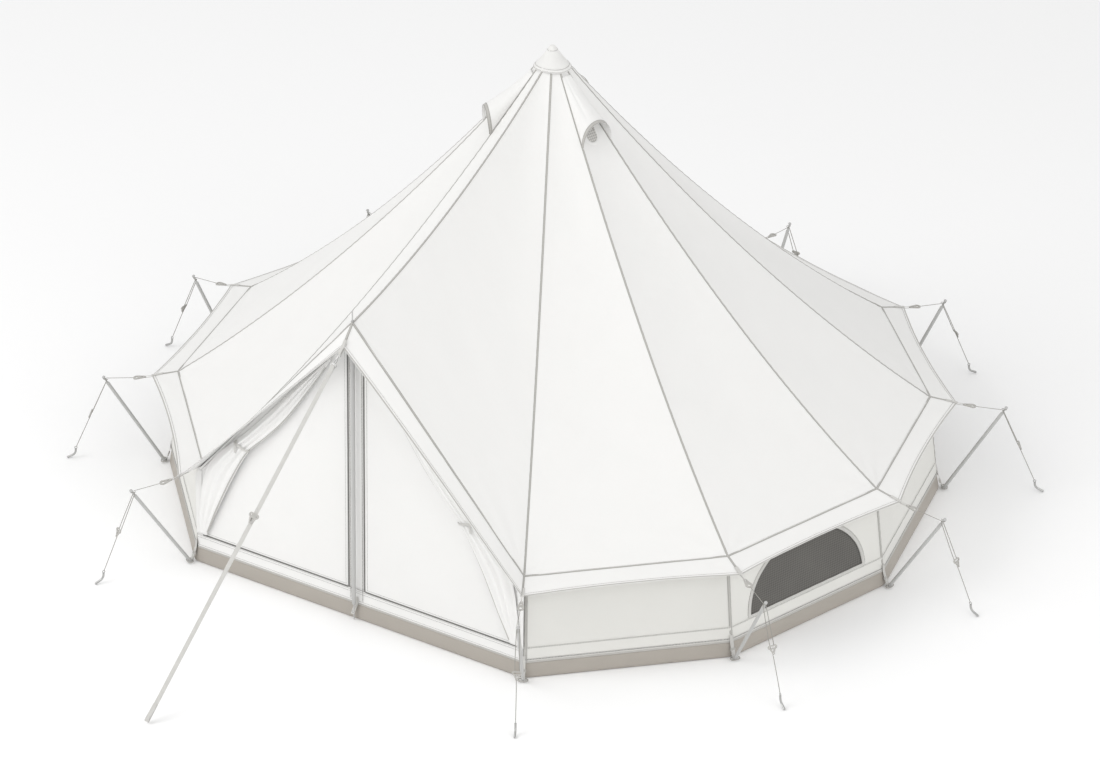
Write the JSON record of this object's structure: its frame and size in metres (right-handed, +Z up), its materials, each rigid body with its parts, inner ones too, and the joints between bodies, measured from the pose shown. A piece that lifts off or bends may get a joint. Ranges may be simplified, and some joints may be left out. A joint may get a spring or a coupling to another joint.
{
  "type": "bell tent",
  "caption": "Round bell tent: canvas roof on a centre pole and a door pole, leaning side poles held by adjustable guys, mesh windows, hooded vents and a tub groundsheet.",
  "frame": {"origin": "on the ground under the centre pole, at the middle of the groundsheet's underside", "axes": "+Z up along the centre pole; -Y out through the door; +X to the right of someone who stands outside and faces the door"},
  "size_m": [6.334, 7.0004, 3.05],
  "materials": {
    "canvas": "matte",
    "groundsheet": "satin",
    "mesh": "matte",
    "webbing": "matte",
    "rope": "matte",
    "cap_cloth": "satin",
    "pole_metal": "satin",
    "plastic": "satin",
    "hardware": "satin"
  },
  "bodies": {
    "tent": {"centre_pole_foot": "pole_metal", "centre_pole_lower": "pole_metal", "centre_pole_sleeve": "pole_metal", "centre_pole_upper": "pole_metal", "curtain_ties": "webbing", "door_curtain_left": "canvas", "door_curtain_right": "canvas", "door_pole_lower": "pole_metal", "door_pole_tab": "webbing", "door_pole_upper": "pole_metal", "door_sill": "canvas", "door_strip": "canvas", "eave_cords": "rope", "eave_flap": "canvas", "eave_loops": "webbing", "eave_toggles": "plastic", "foot_buckles": "plastic", "foot_rings": "plastic", "foot_straps": "webbing", "front_hook": "hardware", "front_loop": "webbing", "front_strap": "webbing", "ground_zip": "webbing", "groundsheet_floor": "groundsheet", "groundsheet_tub": "groundsheet", "guy_pegs": "hardware", "guy_ropes": "rope", "peak_cap": "cap_cloth", "peak_ring": "hardware", "roof_canopy": "canvas", "vent_hoods": "canvas", "vent_meshes": "mesh", "wall_panels": "canvas", "window_bindings": "webbing", "window_meshes": "mesh"},
    "pole_01": {"side_pole_01": "pole_metal"},
    "slider_01": {"guy_slider_01": "plastic"},
    "pole_02": {"side_pole_02": "pole_metal"},
    "slider_02": {"guy_slider_02": "plastic"},
    "pole_03": {"side_pole_03": "pole_metal"},
    "slider_03": {"guy_slider_03": "plastic"},
    "pole_04": {"side_pole_04": "pole_metal"},
    "slider_04": {"guy_slider_04": "plastic"},
    "pole_05": {"side_pole_05": "pole_metal"},
    "slider_05": {"guy_slider_05": "plastic"},
    "pole_06": {"side_pole_06": "pole_metal"},
    "slider_06": {"guy_slider_06": "plastic"},
    "pole_07": {"side_pole_07": "pole_metal"},
    "slider_07": {"guy_slider_07": "plastic"},
    "pole_08": {"side_pole_08": "pole_metal"},
    "slider_08": {"guy_slider_08": "plastic"},
    "pole_09": {"side_pole_09": "pole_metal"},
    "slider_09": {"guy_slider_09": "plastic"},
    "pole_10": {"side_pole_10": "pole_metal"},
    "slider_10": {"guy_slider_10": "plastic"},
    "pole_11": {"side_pole_11": "pole_metal"},
    "slider_11": {"guy_slider_11": "plastic"},
    "door_left": {"door_leaf_left": "canvas"},
    "door_right": {"door_leaf_right": "canvas"},
    "strap_buckle": {"front_buckle": "plastic"}
  },
  "joints": [
    {"name": "pole_01_lean", "type": "hinge", "parent": "tent", "child": "pole_01", "pos_m": [1.265, -2.19104, 0.013], "axis": [-0.866, -0.5, 0], "range_deg": [0, 10], "deforming": ["guy_ropes", "eave_cords"]},
    {"name": "slider_01_slide", "type": "slide", "parent": "pole_01", "child": "slider_01", "axis": [-0.2024, 0.3506, 0.9144], "range_m": [-0.05, 0.09], "deforming": ["guy_ropes"]},
    {"name": "pole_02_lean", "type": "hinge", "parent": "tent", "child": "pole_02", "pos_m": [2.19104, -1.265, 0.013], "axis": [-0.5, -0.866, 0], "range_deg": [0, 10], "deforming": ["guy_ropes", "eave_cords"]},
    {"name": "slider_02_slide", "type": "slide", "parent": "pole_02", "child": "slider_02", "axis": [-0.3506, 0.2024, 0.9144], "range_m": [-0.05, 0.09], "deforming": ["guy_ropes"]},
    {"name": "pole_03_lean", "type": "hinge", "parent": "tent", "child": "pole_03", "pos_m": [2.53, 0, 0.013], "axis": [0, -1, 0], "range_deg": [0, 10], "deforming": ["guy_ropes", "eave_cords"]},
    {"name": "slider_03_slide", "type": "slide", "parent": "pole_03", "child": "slider_03", "axis": [-0.4048, 0, 0.9144], "range_m": [-0.05, 0.09], "deforming": ["guy_ropes"]},
    {"name": "pole_04_lean", "type": "hinge", "parent": "tent", "child": "pole_04", "pos_m": [2.19104, 1.265, 0.013], "axis": [0.5, -0.866, 0], "range_deg": [0, 10], "deforming": ["guy_ropes", "eave_cords"]},
    {"name": "slider_04_slide", "type": "slide", "parent": "pole_04", "child": "slider_04", "axis": [-0.3506, -0.2024, 0.9144], "range_m": [-0.05, 0.09], "deforming": ["guy_ropes"]},
    {"name": "pole_05_lean", "type": "hinge", "parent": "tent", "child": "pole_05", "pos_m": [1.265, 2.19104, 0.013], "axis": [0.866, -0.5, 0], "range_deg": [0, 10], "deforming": ["guy_ropes", "eave_cords"]},
    {"name": "slider_05_slide", "type": "slide", "parent": "pole_05", "child": "slider_05", "axis": [-0.2024, -0.3506, 0.9144], "range_m": [-0.05, 0.09], "deforming": ["guy_ropes"]},
    {"name": "pole_06_lean", "type": "hinge", "parent": "tent", "child": "pole_06", "pos_m": [0, 2.53, 0.013], "axis": [1, 0, 0], "range_deg": [0, 10], "deforming": ["guy_ropes", "eave_cords"]},
    {"name": "slider_06_slide", "type": "slide", "parent": "pole_06", "child": "slider_06", "axis": [0, -0.4048, 0.9144], "range_m": [-0.05, 0.09], "deforming": ["guy_ropes"]},
    {"name": "pole_07_lean", "type": "hinge", "parent": "tent", "child": "pole_07", "pos_m": [-1.265, 2.19104, 0.013], "axis": [0.866, 0.5, 0], "range_deg": [0, 10], "deforming": ["guy_ropes", "eave_cords"]},
    {"name": "slider_07_slide", "type": "slide", "parent": "pole_07", "child": "slider_07", "axis": [0.2024, -0.3506, 0.9144], "range_m": [-0.05, 0.09], "deforming": ["guy_ropes"]},
    {"name": "pole_08_lean", "type": "hinge", "parent": "tent", "child": "pole_08", "pos_m": [-2.19104, 1.265, 0.013], "axis": [0.5, 0.866, 0], "range_deg": [0, 10], "deforming": ["guy_ropes", "eave_cords"]},
    {"name": "slider_08_slide", "type": "slide", "parent": "pole_08", "child": "slider_08", "axis": [0.3506, -0.2024, 0.9144], "range_m": [-0.05, 0.09], "deforming": ["guy_ropes"]},
    {"name": "pole_09_lean", "type": "hinge", "parent": "tent", "child": "pole_09", "pos_m": [-2.53, 0, 0.013], "axis": [0, 1, 0], "range_deg": [0, 10], "deforming": ["guy_ropes", "eave_cords"]},
    {"name": "slider_09_slide", "type": "slide", "parent": "pole_09", "child": "slider_09", "axis": [0.4048, 0, 0.9144], "range_m": [-0.05, 0.09], "deforming": ["guy_ropes"]},
    {"name": "pole_10_lean", "type": "hinge", "parent": "tent", "child": "pole_10", "pos_m": [-2.19104, -1.265, 0.013], "axis": [-0.5, 0.866, 0], "range_deg": [0, 10], "deforming": ["guy_ropes", "eave_cords"]},
    {"name": "slider_10_slide", "type": "slide", "parent": "pole_10", "child": "slider_10", "axis": [0.3506, 0.2024, 0.9144], "range_m": [-0.05, 0.09], "deforming": ["guy_ropes"]},
    {"name": "pole_11_lean", "type": "hinge", "parent": "tent", "child": "pole_11", "pos_m": [-1.265, -2.19104, 0.013], "axis": [-0.866, 0.5, 0], "range_deg": [0, 10], "deforming": ["guy_ropes", "eave_cords"]},
    {"name": "slider_11_slide", "type": "slide", "parent": "pole_11", "child": "slider_11", "axis": [0.2024, 0.3506, 0.9144], "range_m": [-0.05, 0.09], "deforming": ["guy_ropes"]},
    {"name": "door_left_swing", "type": "hinge", "parent": "tent", "child": "door_left", "pos_m": [-0.063, -2.10206, 1.95785], "axis": [0.6576, 0.0174, 0.7531], "range_deg": [0, 55]},
    {"name": "door_right_swing", "type": "hinge", "parent": "tent", "child": "door_right", "pos_m": [0.063, -2.10206, 1.95785], "axis": [0.6576, -0.0174, -0.7531], "range_deg": [0, 55]},
    {"name": "strap_buckle_slide", "type": "slide", "parent": "tent", "child": "strap_buckle", "axis": [0.1284, 0.6367, 0.7603], "range_m": [-0.4, 0.4]}
  ]
}
